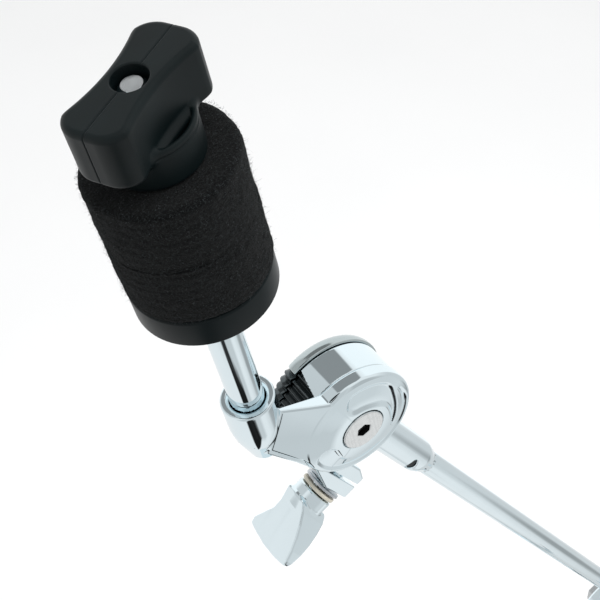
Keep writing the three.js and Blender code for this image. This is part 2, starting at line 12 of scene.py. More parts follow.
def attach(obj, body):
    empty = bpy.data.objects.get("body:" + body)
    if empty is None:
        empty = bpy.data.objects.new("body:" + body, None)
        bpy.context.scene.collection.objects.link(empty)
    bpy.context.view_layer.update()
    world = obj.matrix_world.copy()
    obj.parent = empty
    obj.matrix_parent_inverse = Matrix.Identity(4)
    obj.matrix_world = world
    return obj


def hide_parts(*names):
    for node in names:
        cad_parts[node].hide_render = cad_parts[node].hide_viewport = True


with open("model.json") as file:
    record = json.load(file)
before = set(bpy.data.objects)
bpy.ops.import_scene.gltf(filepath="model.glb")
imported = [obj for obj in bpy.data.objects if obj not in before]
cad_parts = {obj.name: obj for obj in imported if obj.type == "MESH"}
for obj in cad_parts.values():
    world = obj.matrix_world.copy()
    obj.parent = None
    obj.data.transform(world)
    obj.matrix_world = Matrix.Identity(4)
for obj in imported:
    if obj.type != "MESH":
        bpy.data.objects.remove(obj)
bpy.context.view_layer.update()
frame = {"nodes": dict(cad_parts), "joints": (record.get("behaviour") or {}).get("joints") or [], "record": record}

MM = 0.001
scene = bpy.context.scene
scene.view_settings.view_transform = "Standard"
nodes = frame["nodes"]
joints = {j["name"]: j for j in frame["joints"]}
body_of = {node: body for body, members in frame["record"]["behaviour"]["bodies"].items()
           for node in members}
SLOTS = {part["node"]: part["material_slot"] for part in frame["record"]["subparts"]}


# ---------------------------------------------------------------- places
def place(origin, z_axis, x_axis):
    """The local frame at origin whose Z is z_axis and whose X lies along x_axis."""
    z = Vector(z_axis).normalized()
    y = z.cross(Vector(x_axis)).normalized()
    x = y.cross(z)
    m = Matrix((x, y, z)).transposed().to_4x4()
    m.translation = Vector(origin)
    return m


def moved(base, x=0.0, turn=0.0):
    """The frame base, shifted by millimetres along its own X and turned by degrees about its Z."""
    return base @ Matrix.Translation((x * MM, 0, 0)) @ Matrix.Rotation(math.radians(turn), 4, "Z")


def local_box(node, where):
    """Lowest and highest corner of a CAD node in a local frame, in millimetres."""
    inverse = where.inverted()
    points = np.array([inverse @ v.co for v in nodes[node].data.vertices]) / MM
    return points.min(0), points.max(0)


# The frames of the head (Z up the rod), the rod, the arm (X along it) and the clamping bolt.
HINGE = Vector(joints["cymbal_tilt"]["pos_m"])
ROD_AXIS = Vector(joints["nut_turn"]["axis"])
ARM_AXIS = Vector(joints["arm_reach"]["axis"])
ACROSS = Vector((0, 1, 0))
HEAD = place(HINGE, ROD_AXIS, ACROSS.cross(ROD_AXIS))
ARM = place(HINGE, ARM_AXIS.cross(ACROSS), ARM_AXIS)
ROD_X = float((HEAD.inverted() @ Vector(joints["nut_turn"]["pos_m"])).x / MM)
ROD = moved(HEAD, x=ROD_X)
BOLT = place(joints["tilter_bolt_turn"]["pos_m"], joints["tilter_bolt_turn"]["axis"], ACROSS)


# ---------------------------------------------------------------- solid shapes as distances
def meet(a, b, r=0.0):
    """The common part of two shapes, with an edge rounded to radius r."""
    if r == 0:
        return np.maximum(a, b)
    return np.minimum(-r, np.maximum(a, b)) + np.hypot(np.maximum(a + r, 0), np.maximum(b + r, 0))


def both(a, b, r=0.0):
    """Two shapes together, with a fillet of radius r between them."""
    return -meet(-a, -b, r)


def less(a, b, r=0.0):
    """The first shape without the second."""
    return meet(a, -b, r)


def between(v, low, high):
    """The slab where v lies from low to high."""
    return np.maximum(low - v, v - high)


def outline(u, v, points):
    """Distance to a polygon in the plane, negative inside it."""
    best = np.full(np.broadcast(u, v).shape, 1e9)
    inside = np.zeros(best.shape, bool)
    for (ax, ay), (bx, by) in zip(points, points[1:] + points[:1]):
        ex, ey = bx - ax, by - ay
        t = np.clip(((u - ax) * ex + (v - ay) * ey) / (ex * ex + ey * ey), 0, 1)
        best = np.minimum(best, (u - ax - t * ex) ** 2 + (v - ay - t * ey) ** 2)
        crosses = (ay > v) != (by > v)
        if by != ay:
            inside ^= crosses & (u < ax + ex * (v - ay) / ey)
    return np.where(inside, -1.0, 1.0) * np.sqrt(best)


def smooth_step(low, high, v):
    """An even rise from 0 at low to 1 at high; a low above high makes it fall."""
    t = np.clip((v - low) / (high - low), 0, 1)
    return t * t * (3 - 2 * t)


def hexagon(u, v, turn=0.0):
    """Distance from a hexagon's axis, measured square to its nearest flat."""
    angle = np.arctan2(v, u) + math.radians(turn)
    return np.hypot(u, v) * np.cos(np.mod(angle, math.pi / 3) - math.pi / 6)


def thread(along, u, v, depth):
    """The ridge of a thread of 1 mm pitch, to be added to a shank's distance."""
    return depth * np.abs(np.mod(along + np.arctan2(v, u) / (2 * math.pi), 1) - 0.5)


def gradient(shape, p, step=0.02):
    """The shape's slope at each point, by central differences."""
    slope = np.empty_like(p)
    for k in range(3):
        lo, hi = p.copy(), p.copy()
        lo[:, k] -= step
        hi[:, k] += step
        slope[:, k] = (shape(*hi.T) - shape(*lo.T)) / (2 * step)
    return slope


NEWTON_STEPS = 3


def skin(shape, low, high, cell):
    """Points, outward normals and quads of the surface where shape is zero, between two corners.

    Each cell of the grid that the surface crosses holds one point, and each crossed edge one quad.
    """
    axes = [np.arange(low[k] - 1.5 * cell, high[k] + 2.5 * cell, cell) for k in range(3)]
    d = shape(*np.meshgrid(*axes, indexing="ij", sparse=True))
    d = np.broadcast_to(d, [len(a) for a in axes])
    inside = d < 0
    n = np.array(inside.shape) - 1
    count = np.zeros(n, np.int8)
    for i in (0, 1):
        for j in (0, 1):
            for k in (0, 1):
                count += inside[i:i + n[0], j:j + n[1], k:k + n[2]]
    cells = np.array(np.nonzero((count > 0) & (count < 8)))
    total, hits = np.zeros((3, cells.shape[1])), np.zeros(cells.shape[1])
    for axis in range(3):
        a, b = (axis + 1) % 3, (axis + 2) % 3
        for da in (0, 1):
            for db in (0, 1):
                c0 = cells.copy()
                c0[a] += da
                c0[b] += db
                c1 = c0.copy()
                c1[axis] += 1
                d0, d1 = d[tuple(c0)], d[tuple(c1)]
                crossing = (d0 < 0) != (d1 < 0)
                t = np.where(crossing, d0 / np.where(crossing, d0 - d1, 1), 0)
                spot = c0.astype(float)
                spot[axis] += t
                total += spot * crossing
                hits += crossing
    points = (total / hits).T * cell + np.array([a[0] for a in axes])
    for _ in range(NEWTON_STEPS):
        g = gradient(shape, points)
        size = np.maximum((g * g).sum(1, keepdims=True), 0.05)
        points -= np.clip(shape(*points.T)[:, None] * g / size, -cell, cell)
    normals = gradient(shape, points)
    normals /= np.maximum(np.linalg.norm(normals, axis=1, keepdims=True), 1e-9)
    index = np.full(n, -1, np.int64)
    index[tuple(cells)] = np.arange(cells.shape[1])
    quads = []
    for axis in range(3):
        a, b = (axis + 1) % 3, (axis + 2) % 3
        first = [slice(None)] * 3
        first[axis] = slice(0, -1)
        second = [slice(None)] * 3
        second[axis] = slice(1, None)
        s0, s1 = inside[tuple(first)], inside[tuple(second)]
        edge = np.array(np.nonzero(s0 != s1))
        outward = s0[tuple(edge)]
        ring = []
        for oa, ob in ((-1, -1), (0, -1), (0, 0), (-1, 0)):
            c = edge.copy()
            c[a] += oa
            c[b] += ob
            ring.append(index[tuple(c)])
        ring = np.array(ring).T
        ring[~outward] = ring[~outward][:, ::-1]
        quads.append(ring)
    return points, normals, np.concatenate(quads)


def paint(obj, chosen):
    """Gives obj's second material to the faces whose local centre, in millimetres, is chosen."""
    centres = np.empty(len(obj.data.polygons) * 3)
    obj.data.polygons.foreach_get("center", centres)
    second = chosen(*(centres.reshape(-1, 3) / MM).T)
    obj.data.polygons.foreach_set("material_index", second.astype(np.int32))


# ---------------------------------------------------------------- pieces
def new_object(name, points, faces, where, normals=None):
    """A mesh object from points in millimetres in the local frame where."""
    mesh = bpy.data.meshes.new(name)
    faces = faces if isinstance(faces, list) else faces.tolist()
    mesh.from_pydata((np.asarray(points) * MM).tolist(), [], faces)
    mesh.polygons.foreach_set("use_smooth", np.ones(len(mesh.polygons), bool))
    if normals is not None:
        mesh.normals_split_custom_set_from_vertices(normals.tolist())
    obj = bpy.data.objects.new(name, mesh)
    obj.matrix_world = where
    scene.collection.objects.link(obj)
    return obj


def finish_piece(obj, node, *looks):
    """obj stands for the CAD node, which it hides, rides on its body and takes the given looks as its materials.
    """
    for look in looks:
        obj.data.materials.append(look)
    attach(obj, body_of[node])
    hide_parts(node)
    return obj


def carved(name, node, shape, where, cell, *looks, margin=0.6):
    """A piece from a distance shape, searched for in the CAD node's own box."""
    low, high = local_box(node, where)
    points, normals, quads = skin(shape, low - margin, high + margin, cell)
    obj = new_object(name, points, quads, where, normals)
    return finish_piece(obj, node, *looks)


def rounded(profile, steps=5):
    """A profile of (radius, height, fillet) corners as points, with each fillet drawn as an arc."""
    done = []
    count = len(profile)
    for i, corner in enumerate(profile):
        p = np.array(corner[:2], float)
        fillet = corner[2] if len(corner) > 2 else 0
        if not fillet:
            done.append(p)
            continue
        a = np.array(profile[i - 1][:2], float) - p
        b = np.array(profile[(i + 1) % count][:2], float) - p
        la, lb = np.linalg.norm(a), np.linalg.norm(b)
        a, b = a / la, b / lb
        half = math.acos(float(np.clip(a @ b, -1, 1))) / 2
        reach = min(fillet / math.tan(half), 0.49 * la, 0.49 * lb)
        radius = reach * math.tan(half)
        centre = p + (a + b) / np.linalg.norm(a + b) * radius / math.sin(half)
        start, end = p + a * reach - centre, p + b * reach - centre
        sweep = math.pi - 2 * half
        side = np.sign(start[0] * end[1] - start[1] * end[0])
        for k in range(steps + 1):
            t = side * sweep * k / steps
            c, s = math.cos(t), math.sin(t)
            done.append(centre + (c * start[0] - s * start[1], s * start[0] + c * start[1]))
    return np.array(done)


def turned(profile, steps=72, closed=False):
    """Points and faces of a profile (radius, height) turned about Z.

    A profile point on the axis becomes one point.
    """
    points, faces, rings = [], [], []
    angle = np.arange(steps) * 2 * math.pi / steps
    for r, h in profile:
        start = len(points)
        if r < 1e-6:
            points.append((0, 0, h))
            rings.append((start, 1))
        else:
            points.extend(zip(r * np.cos(angle), r * np.sin(angle), np.full(steps, h)))
            rings.append((start, steps))
    pairs = list(zip(rings, rings[1:]))
    if closed:
        pairs.append((rings[-1], rings[0]))
    for (s0, n0), (s1, n1) in pairs:
        for k in range(steps):
            m = (k + 1) % steps
            if n0 == 1:
                faces.append((s0, s1 + m, s1 + k))
            elif n1 == 1:
                faces.append((s0 + k, s0 + m, s1))
            else:
                faces.append((s0 + k, s0 + m, s1 + m, s1 + k))
    return np.array(points), faces


SHARP = math.radians(34)
BEVELLED = math.radians(32)


def lathe(name, node, profile, where, *looks, steps=72):
    """A turned piece. A profile that starts off the axis is a ring."""
    line = rounded(profile)
    points, faces = turned(line, steps, closed=line[0][0] > 1e-6)
    obj = new_object(name, points, faces, where)
    obj.data.set_sharp_from_angle(angle=SHARP)
    return finish_piece(obj, node, *looks)


def refined(name, node, edge, look, merge_angle=3.0):
    """The CAD node's own shape with its edges rounded by edge millimetres."""
    bm = bmesh.new()
    bm.from_mesh(nodes[node].data)
    bmesh.ops.remove_doubles(bm, verts=bm.verts, dist=2e-6)
    bmesh.ops.dissolve_limit(bm, angle_limit=math.radians(merge_angle), verts=bm.verts,
                             edges=bm.edges)
    centre = sum((v.co for v in bm.verts), Vector()) / len(bm.verts)
    for v in bm.verts:
        v.co -= centre
    mesh = bpy.data.meshes.new(name)
    bm.to_mesh(mesh)
    bm.free()
    mesh.polygons.foreach_set("use_smooth", np.ones(len(mesh.polygons), bool))
    obj = bpy.data.objects.new(name, mesh)
    obj.location = centre
    scene.collection.objects.link(obj)
    bevel = obj.modifiers.new("edges", "BEVEL")
    bevel.width = edge * MM
    bevel.segments = 3
    bevel.limit_method = "ANGLE"
    bevel.angle_limit = BEVELLED
    bpy.context.view_layer.update()
    made = bpy.data.meshes.new_from_object(obj.evaluated_get(bpy.context.evaluated_depsgraph_get()))
    obj.modifiers.clear()
    obj.data = made
    made.set_sharp_from_angle(angle=SHARP)
    return finish_piece(obj, node, look)


# ---------------------------------------------------------------- materials
class Look:
    """A Principled material with node helpers."""

    def __init__(self, name, color, rough, metallic=0.0, specular=0.5):
        self.material = bpy.data.materials.new(name)
        self.material.use_nodes = True
        self.tree = self.material.node_tree
        self.shader = self.tree.nodes["Principled BSDF"]
        self.set("Base Color", (*color, 1))
        self.set("Roughness", rough)
        self.set("Metallic", metallic)
        self.set("Specular IOR Level", specular)
        self.coords = self.tree.nodes.new("ShaderNodeTexCoord").outputs["Object"]

    def set(self, socket, value):
        """Sets a constant on the shader."""
        self.shader.inputs[socket].default_value = value

    def node(self, kind, inputs=None, **settings):
        """Adds a node; inputs maps each of its sockets to a constant or to another node's output."""
        n = self.tree.nodes.new(kind)
        for k, v in settings.items():
            setattr(n, k, v)
        for k, v in (inputs or {}).items():
            if isinstance(v, bpy.types.NodeSocket):
                self.tree.links.new(v, n.inputs[k])
            else:
                n.inputs[k].default_value = v
        return n

    def link(self, output, socket):
        """Drives the shader's socket with a node's output."""
        self.tree.links.new(output, self.shader.inputs[socket])

    def noise(self, scale, detail=3.0, roughness=0.5):
        """Noise in object space with scale grains to the metre."""
        inputs = {"Vector": self.coords, "Scale": scale, "Detail": detail, "Roughness": roughness}
        return self.node("ShaderNodeTexNoise", inputs).outputs["Fac"]

    def ramp(self, value, *stops):
        """A colour ramp over value from (position, colour) stops."""
        n = self.node("ShaderNodeValToRGB", {"Fac": value})
        while len(n.color_ramp.elements) < len(stops):
            n.color_ramp.elements.new(0.5)
        for element, (at, color) in zip(n.color_ramp.elements, stops):
            element.position = at
            element.color = (*color, 1)
        return n.outputs["Color"]

    def spread(self, value, low, high):
        """value, which runs from 0 to 1, brought to run from low to high."""
        inputs = {"Value": value, "To Min": low, "To Max": high}
        return self.node("ShaderNodeMapRange", inputs).outputs[0]

    def bump(self, height, strength, distance, below=None):
        """A bumped normal, on top of the bump below."""
        inputs = {"Height": height, "Strength": strength, "Distance": distance}
        if below is not None:
            inputs["Normal"] = below
        return self.node("ShaderNodeBump", inputs).outputs["Normal"]


def chrome(name, color=(0.79, 0.89, 0.93), rough=0.035):
    """Polished plating with a faint waviness and barely duller patches."""
    look = Look(name, color, rough, metallic=1.0)
    patches = look.noise(60, 4)
    look.link(look.ramp(patches, (0.3, [c * 0.965 for c in color]), (0.7, color)), "Base Color")
    look.link(look.spread(look.noise(240, 5), rough * 0.6, rough * 1.6), "Roughness")
    look.link(look.bump(look.noise(110, 2), 0.05, 0.0004), "Normal")
    return look.material


def dull_metal(name, color, rough, grain=900, depth=0.3):
    """Plated or machined metal with a fine grain and uneven tone."""
    look = Look(name, color, rough, metallic=1.0)
    look.link(look.ramp(look.noise(400, 5), (0.25, [c * 0.78 for c in color]), (0.75, color)),
              "Base Color")
    look.link(look.spread(look.noise(grain, 3), rough * 0.75, rough * 1.3), "Roughness")
    look.link(look.bump(look.noise(grain, 4), depth, 0.00008), "Normal")
    return look.material


def turned_metal(name, color, rough):
    """Machined metal with rings round its own Z."""
    look = Look(name, color, rough, metallic=1.0)
    inputs = {"Vector": look.coords, "Scale": 900.0, "Distortion": 1.5, "Detail": 2.0}
    rings = look.node("ShaderNodeTexWave", inputs, wave_type="RINGS",
                      rings_direction="Z").outputs["Fac"]
    look.link(look.ramp(look.noise(500, 4), (0.25, [c * 0.86 for c in color]), (0.8, color)),
              "Base Color")
    look.link(look.spread(rings, rough * 0.85, rough * 1.2), "Roughness")
    look.link(look.bump(rings, 0.12, 0.00005), "Normal")
    return look.material


def plastic(name, color, rough, specular=0.3, grain=2600, depth=0.25):
    """Moulded plastic with a fine even grain and a few slightly worn patches."""
    look = Look(name, color, rough, specular=specular)
    look.link(look.ramp(look.noise(90, 4), (0.3, [c * 0.8 for c in color]),
                        (0.75, [c * 1.25 for c in color])), "Base Color")
    look.link(look.spread(look.noise(160, 4), rough * 0.88, rough * 1.12), "Roughness")
    waves = look.bump(look.noise(300, 2), 0.06, 0.0002)
    look.link(look.bump(look.noise(grain, 3, 0.6), depth, 0.00006, waves), "Normal")
    return look.material


def felt(name, color):
    """Pressed wool: a deep uneven surface of tangled fibres with paler specks."""
    look = Look(name, color, 0.95, specular=0.06)
    look.set("Sheen Weight", 0.05)
    look.set("Sheen Roughness", 0.5)
    tangle = look.noise(1900, 6, 0.8)
    look.link(look.ramp(tangle, (0.44, [c * 0.2 for c in color]), (0.55, color),
                        (0.68, [c * 5 for c in color])), "Base Color")
    clumps = look.bump(look.noise(420, 4, 0.7), 0.8, 0.0008)
    look.link(look.bump(tangle, 1.0, 0.0006, clumps), "Normal")
    return look.material


CHROME = chrome("chrome")
TUBE_CHROME = chrome("tube_chrome", rough=0.05)
# A darker, duller copy of the chrome for the rear plate: its darker colour is painted shade.
BACK_PLATE_SHADED_CHROME = chrome("back_plate_chrome_painted_shade", (0.50, 0.56, 0.57), 0.12)
# Near-black metal for the teeth between the plates: painted shade for the shaded gap they sit in.
TEETH_PAINTED_SHADE = dull_metal("ratchet_painted_shade", (0.10, 0.115, 0.12), 0.13, 1500, 0.4)
SCREW_STEEL = turned_metal("screw_steel", (0.86, 0.88, 0.88), 0.3)
# Near-black metal for the inside of the screw's hex socket: painted shade in the recess.
SOCKET_PAINTED_SHADE = dull_metal("socket_painted_shade", (0.06, 0.06, 0.06), 0.5)
PIN_STEEL = turned_metal("pin_steel", (0.58, 0.60, 0.61), 0.3)
ZINC = dull_metal("zinc_plate", (0.60, 0.63, 0.66), 0.28, 1400, 0.5)
BRASS = turned_metal("turned_brass", (0.72, 0.55, 0.27), 0.3)
BLACK_PLASTIC = plastic("black_nylon", (0.0030, 0.0062, 0.0068), 0.42, 0.2)
CUP_PLASTIC = plastic("cup_plastic", (0.0030, 0.0062, 0.0070), 0.36, 0.14, 1800, 0.12)
NYLON = plastic("cream_nylon", (0.66, 0.62, 0.52), 0.45, 0.4, 900, 0.2)
DARK_NYLON = plastic("bushing_nylon", (0.045, 0.047, 0.05), 0.45, 0.35, 900, 0.2)
RUBBER = plastic("black_rubber", (0.012, 0.012, 0.0125), 0.62, 0.25, 1200, 0.6)
FIBRE = plastic("friction_fibre", (0.05, 0.042, 0.034), 0.8, 0.2, 1600, 0.8)
FELT = felt("pressed_felt", (0.0075, 0.0088, 0.0092))
WISP = felt("felt_fibre", (0.060, 0.070, 0.074))


# ---------------------------------------------------------------- camera, light and floor
CAMERA_PLACE = HINGE + Vector((0.1608, 0.2172, 0.3155))
CAMERA_RIGHT = Vector((-0.83244, 0.55410, 0.00373))
CAMERA_AHEAD = Vector((-0.39423, -0.58750, -0.70670)).normalized()


def add_camera():
    """A long-lens view from above the head, looking down past it at 45 degrees."""
    data = bpy.data.cameras.new("camera")
    data.lens = 78
    data.sensor_width = 36
    data.clip_start, data.clip_end = 0.01, 20
    camera = bpy.data.objects.new("camera", data)
    turn = Matrix((CAMERA_RIGHT, (-CAMERA_AHEAD).cross(CAMERA_RIGHT), -CAMERA_AHEAD)).transposed()
    camera.matrix_world = turn.to_4x4()
    camera.location = CAMERA_PLACE
    scene.collection.objects.link(camera)
    scene.camera = camera


# Soft cards that the chrome sees: azimuth and elevation ranges in degrees, softness, brightness.
CARDS = [
    (20, 97, -52, 80, 24, 0.64),
    (97, 152, -2, 62, 16, 0.54),
    (140, 202, -92, 22, 26, 0.70),
    (146, 168, -47, -31, 9, 0.38),
    (204, 282, -42, 40, 8, 1.08),
    (286, 350, 12, 72, 12, 0.66),
    (228, 296, 42, 64, 3, 0.30),
    (22, 46, 46, 63, 5, 0.10),
    (62, 111, -62, -37, 10, 0.66),
    (97, 150, -37, -4, 10, 0.72),
    (50, 91, -95, -56, 6, 0.012),
    (54, 76, -60, -24, 6, 0.03),
]
ROOM = 0.9


def add_world():
    """A white room with a few dark and grey cards, as a product studio has."""
    world = bpy.data.worlds.new("studio")
    world.use_nodes = True
    scene.world = world
    tree = world.node_tree
    background = tree.nodes["Background"]

    def math_node(operation, *values, clamp=False):
        """A maths node's output; each value is a constant or another node's output."""
        n = tree.nodes.new("ShaderNodeMath")
        n.operation = operation
        n.use_clamp = clamp
        for socket, value in zip(n.inputs, values):
            if isinstance(value, bpy.types.NodeSocket):
                tree.links.new(value, socket)
            else:
                socket.default_value = value
        return n.outputs[0]

    coords = tree.nodes.new("ShaderNodeTexCoord").outputs["Generated"]
    split = tree.nodes.new("ShaderNodeSeparateXYZ")
    tree.links.new(coords, split.inputs[0])
    x, y, z = split.outputs
    azimuth = math_node("DEGREES", math_node("ARCTAN2", y, x))
    azimuth = math_node("FLOORED_MODULO", azimuth, 360.0)
    elevation = math_node("DEGREES", math_node("ARCSINE", z))

    def rise(value, at, soft):
        """From 0 to 1 as value passes at, over a band soft degrees wide."""
        return math_node("DIVIDE", math_node("SUBTRACT", value, at - soft / 2), soft, clamp=True)

    color = None
    for az0, az1, el0, el1, soft, tone in CARDS:
        weight = rise(azimuth, az0, soft)
        for edge in (math_node("SUBTRACT", 1.0, rise(azimuth, az1, soft)),
                     rise(elevation, el0, soft),
                     math_node("SUBTRACT", 1.0, rise(elevation, el1, soft))):
            weight = math_node("MULTIPLY", weight, edge)
        mix = tree.nodes.new("ShaderNodeMix")
        mix.data_type = "RGBA"
        tree.links.new(weight, mix.inputs["Factor"])
        if color is None:
            mix.inputs["A"].default_value = (ROOM, ROOM, ROOM, 1)
        else:
            tree.links.new(color, mix.inputs["A"])
        mix.inputs["B"].default_value = (tone * 0.985, tone, tone * 1.005, 1)
        color = mix.outputs["Result"]
    tree.links.new(color, background.inputs["Color"])
    background.inputs["Strength"].default_value = 1.0


def add_light(name, toward, size, power, distance=1.6):
    """A soft round light, distance metres from the head, that shines on it from toward."""
    data = bpy.data.lights.new(name, "AREA")
    data.shape = "DISK"
    data.size = size
    data.energy = power
    light = bpy.data.objects.new(name, data)
    direction = Vector(toward).normalized()
    light.matrix_world = place(HINGE + direction * distance, direction, (0.3, 1, 0.1))
    scene.collection.objects.link(light)
    light.visible_glossy = False


FLOOR_REACH = 6000


def add_floor():
    """A pale painted floor under the stand's feet."""
    look = Look("floor_paint", (0.97, 0.97, 0.97), 0.9, specular=0.1)
    look.link(look.ramp(look.noise(3, 3), (0.3, (0.955,) * 3), (0.7, (0.975,) * 3)), "Base Color")
    corners = [(x * FLOOR_REACH, y * FLOOR_REACH, 0)
               for x, y in ((-1, -1), (1, -1), (1, 1), (-1, 1))]
    floor = new_object("floor", corners, [(0, 1, 2, 3)], Matrix.Identity(4))
    floor.data.materials.append(look.material)
    floor.visible_glossy = False


# ---------------------------------------------------------------- the tilter
# Millimetres in the head's frame: X from the hinge towards the rod, Y along the hinge, Z up the rod.
# Each groove's middle radius and half width against degrees round the screw.
UPPER_GROOVE = {"angle": (93, 100, 120, 135, 145, 155, 165, 180, 193, 205, 216),
                "middle": (13.1, 13.1, 13.1, 13.2, 13.2, 12.6, 12.3, 12.1, 12.2, 12.6, 13.2),
                "half": (3.8, 4.0, 4.1, 3.9, 3.5, 2.4, 1.9, 1.5, 1.2, 0.9, 0.3)}
LOWER_GROOVE = {"angle": (-200, -188, -171, -142, -127, -116, -104, -90, -70, -53, -40, -30, -16),
                "middle": (17.1, 17.2, 17.3, 17.5, 17.4, 17.2, 16.2, 16.0, 15.8, 15.8, 14.9,
                           14.4, 14.0),
                "half": (0.1, 0.6, 1.0, 1.1, 1.3, 1.5, 2.3, 2.5, 2.6, 2.4, 3.2, 3.6, 3.7)}
GROOVE_BLUR = (-8, -4, 0, 4, 8)  # degrees over which a groove's table is evened out
GROOVE_DEPTH = 0.95
GROOVE_WALL = (0.6, -1.1)  # distances to a groove's edge where its wall starts and ends
DISC, DISC_BACK = 20.2, 6.1
# The face's height, the radius of its level middle, and how it falls towards its rim.
CROWN, CROWN_FLAT, CROWN_FALL = 13.35, 7.5, 0.0185
RIM_START, RIM_FALL = 13, 0.2
EDGE_START, EDGE_FALL = 17, 0.05
WEB = [(6, 18), (21.9, 25.6), (29.4, 11.9), (21.5, 0.5), (14.2, -14.4), (0, 0)]
WEB_BACK = -4
LIP = [(12, -12), (14.2, -16.6), (22.8, -1.2), (30.2, 9.0), (28, 13)]
LIP_STEP, LIP_BACK = 1.6, 5.6  # the lip stands this far behind the web's face
HUB, HUB_BACK = 14, -5.8
PLATE_SIDE = 24  # the web keeps its full thickness beyond this X
COLLAR, COLLAR_LOW, COLLAR_HIGH = 8.4, 3, 31
TAPER_TOP, TAPER = 16.0, 0.28  # the collar narrows towards its foot below this height
COLLAR_BORE, BORE_FLOOR = 5.6, 12.5
MOUTH, MOUTH_FLARE, MOUTH_DEEPEST = 30.3, 1.4, 2
SCREW_RADIUS, SCREW_BACK, SCREW_SEAT, SCREW_TOP = 7.4, 9.9, 9.6, 13.9
SHANK, SHANK_BACK = 3.4, -19.5
CLEARANCE = 0.3
PLATE_BACK, PLATE_FRONT, DISHED_FROM = -12.4, -6.1, 12
NUT_BACK, NUT_FRONT, NUT_HALF = -18.8, -12.8, 6.5
HEX_SOCKET, SOCKET_TURN = 2.25, 14


def groove_edge(r, angle, groove):
    """Distance to the edge of a groove given as middle radius and half width against angle."""
    a = groove["angle"]
    middle, half = (sum(np.interp(angle + shift, a, groove[key]) for shift in GROOVE_BLUR)
                    / len(GROOVE_BLUR) for key in ("middle", "half"))
    beyond = np.radians(np.maximum(angle - a[-1], 0) + np.maximum(a[0] - angle, 0))
    return np.hypot(r - middle, beyond * r) - half


def comma_grooves(x, z):
    """Depth of the two comma-shaped grooves that curl round the screw."""
    r = np.hypot(x, z)
    angle = np.degrees(np.arctan2(z, x))
    upper = groove_edge(r, np.mod(angle + 32, 360) - 32, UPPER_GROOVE)  # -32 to 328 degrees
    lower = groove_edge(r, np.mod(angle - 76, 360) - 284, LOWER_GROOVE)  # -284 to 76 degrees
    return GROOVE_DEPTH * (smooth_step(*GROOVE_WALL, upper) + smooth_step(*GROOVE_WALL, lower))


def tilter_shape(x, y, z):
    """The front casting: a crowned disc, a web with a lip, a hub and the rod's collar."""
    r = np.hypot(x, z)
    dome = CROWN - CROWN_FALL * np.clip(r - CROWN_FLAT, 0, RIM_START - CROWN_FLAT) ** 2 \
        - RIM_FALL * np.maximum(r - RIM_START, 0)
    face = dome - EDGE_FALL * np.maximum(r - EDGE_START, 0) - comma_grooves(x, z)
    disc = meet(meet(r - DISC, (y - face) * 0.93, 1.3), DISC_BACK - y, 0.5)
    web = meet(meet(outline(x, z, WEB), (y - face) * 0.96, 0.9), WEB_BACK - y, 0.6)
    lip = meet(meet(outline(x, z, LIP), (y - face + LIP_STEP) * 0.96, 0.5), LIP_BACK - y, 0.4)
    web = both(web, lip, 0.2)
    web = less(web, meet(x - PLATE_SIDE, y - DISC_BACK), 0.4)
    hub = meet(r - HUB, between(y, HUB_BACK, 7), 0.4)
    q = np.hypot(x - ROD_X, y)
    collar = meet(q - COLLAR, between(z, COLLAR_LOW, COLLAR_HIGH), 0.7)
    collar = meet(collar, (q - COLLAR + TAPER * (TAPER_TOP - z)) * 0.87, 1.0)
    whole = both(both(disc, web, 0.3), hub, 0.2)
    whole = both(whole, collar, 0.6)
    bore = meet(q - COLLAR_BORE, BORE_FLOOR - z)
    flare = MOUTH_FLARE * np.clip(z - MOUTH, 0, MOUTH_DEEPEST)
    mouth = meet(q - COLLAR_BORE - flare, MOUTH - z)
    whole = less(less(whole, bore, 0.3), mouth, 0.25)
    whole = less(whole, meet(r - SCREW_RADIUS - CLEARANCE, SCREW_SEAT - y), 0.25)
    return less(whole, r - SHANK - CLEARANCE, 0.2)


def teeth(x, z, radius, depth, first=18, last=62, pitch=8):
    """Depth of the ratchet teeth cut across a rim, fading at both ends of their range."""
    angle = np.degrees(np.arctan2(z, x))
    wave = np.abs(np.mod(angle / pitch, 1) - 0.5) * 2
    here = smooth_step(first - 3, first + 3, angle) * smooth_step(last + 1, last - 1, angle)
    return depth * here * (1 - wave) * (np.hypot(x, z) > 0.5 * radius)


def rear_plate_shape(x, y, z):
    """The dished plate behind the drum, toothed where the arm's teeth are."""
    r = np.hypot(x, z) + teeth(x, z, DISC, 1.6)
    dished = (PLATE_BACK - y) + 0.02 * np.maximum(r - DISHED_FROM, 0) ** 2
    plate = meet(meet(r - DISC, dished, 3.6), y - PLATE_FRONT, 0.5)
    return less(plate, np.hypot(x, z) - SHANK - CLEARANCE, 0.2)


def screw_shape(x, y, z):
    """A flat screw head with a hexagonal socket, on a shank threaded at its back."""
    r = np.hypot(x, z)
    head = meet(r - SCREW_RADIUS, between(y, SCREW_BACK, SCREW_TOP), 0.35)
    shank = meet(r - SHANK, between(y, SHANK_BACK, 10.5), 0.4) + thread(y, x, z, 0.22) * (y < 4)
    socket = meet(hexagon(x, z, SOCKET_TURN) - HEX_SOCKET, 10.9 + 0.3 * r - y, 0.1)
    return less(both(head, shank, 0.3), socket, 0.2)


def nut_shape(x, y, z):
    """A chamfered hexagon nut."""
    r = np.hypot(x, z)
    middle = (NUT_BACK + NUT_FRONT) / 2
    nut = meet(hexagon(x, z) - NUT_HALF, between(y, NUT_BACK, NUT_FRONT), 0.3)
    nut = meet(nut, r * 0.9 + np.abs(y - middle) * 0.45 - 7.75, 0.2)
    return less(nut, r - SHANK - 0.35, 0.2)


